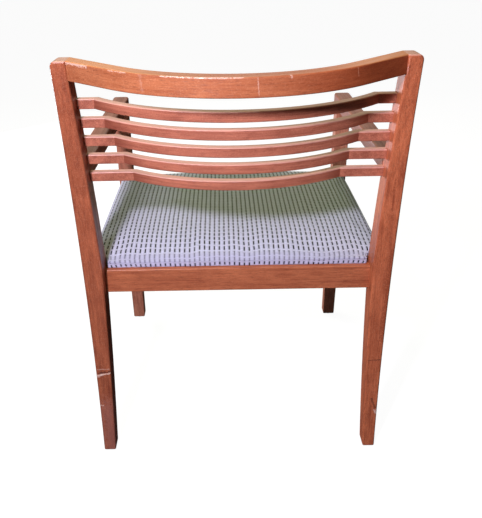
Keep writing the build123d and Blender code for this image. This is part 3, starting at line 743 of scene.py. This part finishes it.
rib = remap(cloth_tree, off_middle(column_place), 0.12, 0.46)
cloth_pale = (0.67, 0.665, 0.87, 1)
cloth_grey = (0.40, 0.395, 0.525, 1)
knot_colour = (0.82, 0.81, 0.96, 1)
dash_colour = (0.003, 0.003, 0.004, 1)
ground = mixed(
    cloth_tree,
    arithmetic(
        cloth_tree,
        "ADD",
        arithmetic(cloth_tree, "MULTIPLY", rib, 0.45),
        arithmetic(cloth_tree, "MULTIPLY", remap(cloth_tree, slub, 0.3, 0.7), 0.55),
    ),
    cloth_grey,
    cloth_pale,
)
crossing = arithmetic(cloth_tree, "SUBTRACT", 1.0, bar(row_place, 0.40, 0.03))
weft_show = stretched_noise(cloth_tree, weave_point, (30.0, 90.0, 1.0), 2.0, 0.6)
crossing = arithmetic(cloth_tree, "MULTIPLY", crossing, remap(cloth_tree, weft_show, 0.5, 0.7, 0.0, 0.15))
knots = arithmetic(cloth_tree, "SUBTRACT", bar(column_place, 0.2, 0.05), bar(row_place, 0.38, 0.03))
crossing = arithmetic(cloth_tree, "MAXIMUM", crossing, arithmetic(cloth_tree, "MULTIPLY", knots, 0.35))
ground = mixed(cloth_tree, crossing, ground, knot_colour)
ground = mixed(cloth_tree, arithmetic(cloth_tree, "MULTIPLY", rear_roll_highlight_and_shade, 0.4), ground, cloth_grey)
cloth_colour = mixed(cloth_tree, dashes, ground, dash_colour)
cloth_bump = place(
    cloth_tree,
    "ShaderNodeBump",
    links={
        "Strength": 0.5,
        "Distance": 0.0006,
        "Height": arithmetic(
            cloth_tree, "SUBTRACT", arithmetic(cloth_tree, "ADD", threads, rib), dashes
        ),
    },
)
cloth_tree.links.new(cloth_colour, cloth_shader.inputs["Base Color"])
cloth_tree.links.new(cloth_bump.outputs["Normal"], cloth_shader.inputs["Normal"])
cloth_shader.inputs["Roughness"].default_value = 0.9
cloth_shader.inputs["Specular IOR Level"].default_value = 0.12
cloth_shader.inputs["Sheen Weight"].default_value = 0.04
pad_mesh.materials.clear()
pad_mesh.materials.append(cloth_look)
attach(cushion, "root")
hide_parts("seat_cover", "seat_foam")

# Dust cover: a thin black non-woven cloth with its corners cut off to clear the corner blocks. It is
# stretched and stapled up under the board, and sags a little in the middle.
dust_low, dust_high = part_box("dust_cover")
dust_width = dust_high.x - dust_low.x
dust_depth = dust_high.y - dust_low.y
dust_middle = (dust_low.y + dust_high.y) / 2
dust_form = bmesh.new()
bmesh.ops.create_grid(dust_form, x_segments=44, y_segments=38, size=0.5)
bmesh.ops.scale(dust_form, vec=(dust_width, dust_depth, 1), verts=dust_form.verts[:])
bmesh.ops.translate(dust_form, vec=(0, dust_middle, dust_high.z), verts=dust_form.verts[:])
corner_cut = 0.087
for side_x in (-1, 1):
    for side_y, edge_y in ((-1, dust_low.y), (1, dust_high.y)):
        bmesh.ops.bisect_plane(
            dust_form,
            geom=dust_form.verts[:] + dust_form.edges[:] + dust_form.faces[:],
            plane_co=(side_x * (dust_high.x - corner_cut), edge_y, dust_high.z),
            plane_no=Vector((side_x, side_y, 0)).normalized(),
            clear_outer=True,
        )
dust_sag = 0.003
for vert in dust_form.verts:
    across = 1 - (vert.co.x / dust_high.x) ** 2
    along = 1 - ((vert.co.y - dust_middle) / (dust_high.y - dust_middle)) ** 2
    vert.co.z -= dust_sag * max(0.0, across * along)
for face in dust_form.faces:
    face.smooth = True
dust_mesh = bpy.data.meshes.new("dust_cloth")
dust_form.to_mesh(dust_mesh)
dust_form.free()
dust_cloth = bpy.data.objects.new("dust_cloth", dust_mesh)
bpy.context.scene.collection.objects.link(dust_cloth)
dust_thickness = dust_cloth.modifiers.new("thickness", "SOLIDIFY")
dust_thickness.thickness = 0.0006
dust_thickness.offset = 0.0
dust_look, dust_tree, dust_shader = new_material("dust_cloth")
dust_fibres = stretched_noise(dust_tree, object_point(dust_tree), (900.0, 700.0, 700.0), 4.0, 0.7)
dust_colour = mixed(dust_tree, dust_fibres, (0.012, 0.012, 0.013, 1), (0.04, 0.04, 0.042, 1))
dust_tree.links.new(dust_colour, dust_shader.inputs["Base Color"])
dust_tree.links.new(remap(dust_tree, dust_fibres, 0.2, 0.8, 0.8, 0.98), dust_shader.inputs["Roughness"])
dust_mesh.materials.append(dust_look)
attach(dust_cloth, "root")
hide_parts("dust_cover")

# Floor glides: discs of black moulded nylon, scuffed by the floor. Each is nailed up into the end grain
# of a post or a leg.
nylon, nylon_tree, nylon_shader = new_material("glide_nylon")
nylon_scuff = stretched_noise(nylon_tree, object_point(nylon_tree), (300.0, 300.0, 300.0), 4.0, 0.6)
nylon_colour = mixed(nylon_tree, nylon_scuff, (0.02, 0.019, 0.018, 1), (0.07, 0.065, 0.06, 1))
nylon_tree.links.new(nylon_colour, nylon_shader.inputs["Base Color"])
nylon_tree.links.new(remap(nylon_tree, nylon_scuff, 0.2, 0.8, 0.4, 0.65), nylon_shader.inputs["Roughness"])
for glide_name in ("glide_rear_left", "glide_rear_right", "glide_front_left", "glide_front_right"):
    dress(glide_name, nylon)

# Floor: a wide plain pale studio floor. It glows for the camera, so that it stays near white, and is
# dark in reflections, so that the wood keeps its colour.
floor_reach = 30.0
floor_grey = (0.16, 0.16, 0.16, 1)
floor_mirrored = (0.02, 0.02, 0.02, 1)
floor_glow = 0.95
floor_form = bmesh.new()
bmesh.ops.create_grid(floor_form, x_segments=1, y_segments=1, size=floor_reach)
floor_mesh = bpy.data.meshes.new("studio_floor")
floor_form.to_mesh(floor_mesh)
floor_form.free()
studio_floor = bpy.data.objects.new("studio_floor", floor_mesh)
bpy.context.scene.collection.objects.link(studio_floor)
floor_look, floor_tree, floor_shader = new_material("studio_floor")
floor_shader.inputs["Roughness"].default_value = 0.9
floor_shader.inputs["Specular IOR Level"].default_value = 0.0
floor_shader.inputs["Emission Color"].default_value = (1, 1, 1, 1)
floor_path = place(floor_tree, "ShaderNodeLightPath")
floor_seen = floor_path.outputs["Is Camera Ray"]
floor_colour = mixed(floor_tree, floor_path.outputs["Is Glossy Ray"], floor_grey, floor_mirrored)
floor_tree.links.new(floor_colour, floor_shader.inputs["Base Color"])
floor_tree.links.new(
    arithmetic(floor_tree, "MULTIPLY", floor_seen, floor_glow), floor_shader.inputs["Emission Strength"]
)
floor_mesh.materials.append(floor_look)

# Light: a small cool key above and behind the chair on its left, a broad green-tinted fill overhead, a
# low light in front on its left, a weak warm strip in front that glances off the upper faces, and a
# dim even surround.
world = bpy.data.worlds.new("studio")
world.use_nodes = True
surround = world.node_tree.nodes["Background"]
surround.inputs["Color"].default_value = (1.0, 1.0, 1.0, 1)
backdrop_seen = place(world.node_tree, "ShaderNodeLightPath").outputs["Is Camera Ray"]
dim, bright = 0.07, 0.96
world.node_tree.links.new(
    remap(world.node_tree, backdrop_seen, 0.0, 1.0, dim, bright), surround.inputs["Strength"]
)
bpy.context.scene.world = world


def soft_light(name, place_at, aim_at, width, height, energy, colour):
    """An area light that faces a point."""
    data = bpy.data.lights.new(name, "AREA")
    data.shape = "RECTANGLE"
    data.size = width
    data.size_y = height
    data.energy = energy
    data.color = colour
    light = bpy.data.objects.new(name, data)
    light.location = place_at
    light.rotation_euler = (Vector(aim_at) - Vector(place_at)).to_track_quat("-Z", "Y").to_euler()
    bpy.context.scene.collection.objects.link(light)


soft_light("key", (0.41, 1.20, 1.30), (0, 0.15, 0.5), 0.13, 0.13, 23.5, (0.92, 0.86, 1.0))
soft_light("top_fill", (0.5, -0.6, 2.4), (0, -0.1, 0.45), 1.6, 1.6, 17.5, (0.82, 1.0, 0.42))
soft_light("low_left", (1.6, -1.9, 0.35), (-0.25, 0.2, 0.4), 0.9, 0.5, 50.0, (0.97, 0.93, 1.0))
soft_light("front_strip", (0, -2.6, 1.5), (0, 0, 0.7), 2.2, 1.0, 7.0, (1.0, 0.80, 0.74))

# Camera: behind the chair and above it, at the photograph's angle. Its frame is shifted, because the
# chair stands off the middle of the picture.
camera_data = bpy.data.cameras.new("camera")
camera_data.sensor_width = 36.0
camera_data.lens = 42.45
camera_data.shift_x = 0.03966
camera_data.shift_y = -0.05016
camera_data.clip_end = 100.0
camera = bpy.data.objects.new("camera", camera_data)
camera.location = (0.023016, 1.15083, 0.976908)
camera_turn, camera_drop, camera_roll = -0.007, 0.454, 0.021
looking = Vector(
    (
        -math.sin(camera_turn) * math.cos(camera_drop),
        -math.cos(camera_turn) * math.cos(camera_drop),
        -math.sin(camera_drop),
    )
)
aim = looking.to_track_quat("-Z", "Y") @ Quaternion((0, 0, 1), -camera_roll)
camera.rotation_mode = "QUATERNION"
camera.rotation_quaternion = aim
bpy.context.scene.collection.objects.link(camera)
bpy.context.scene.camera = camera
bpy.context.scene.view_settings.view_transform = "Standard"
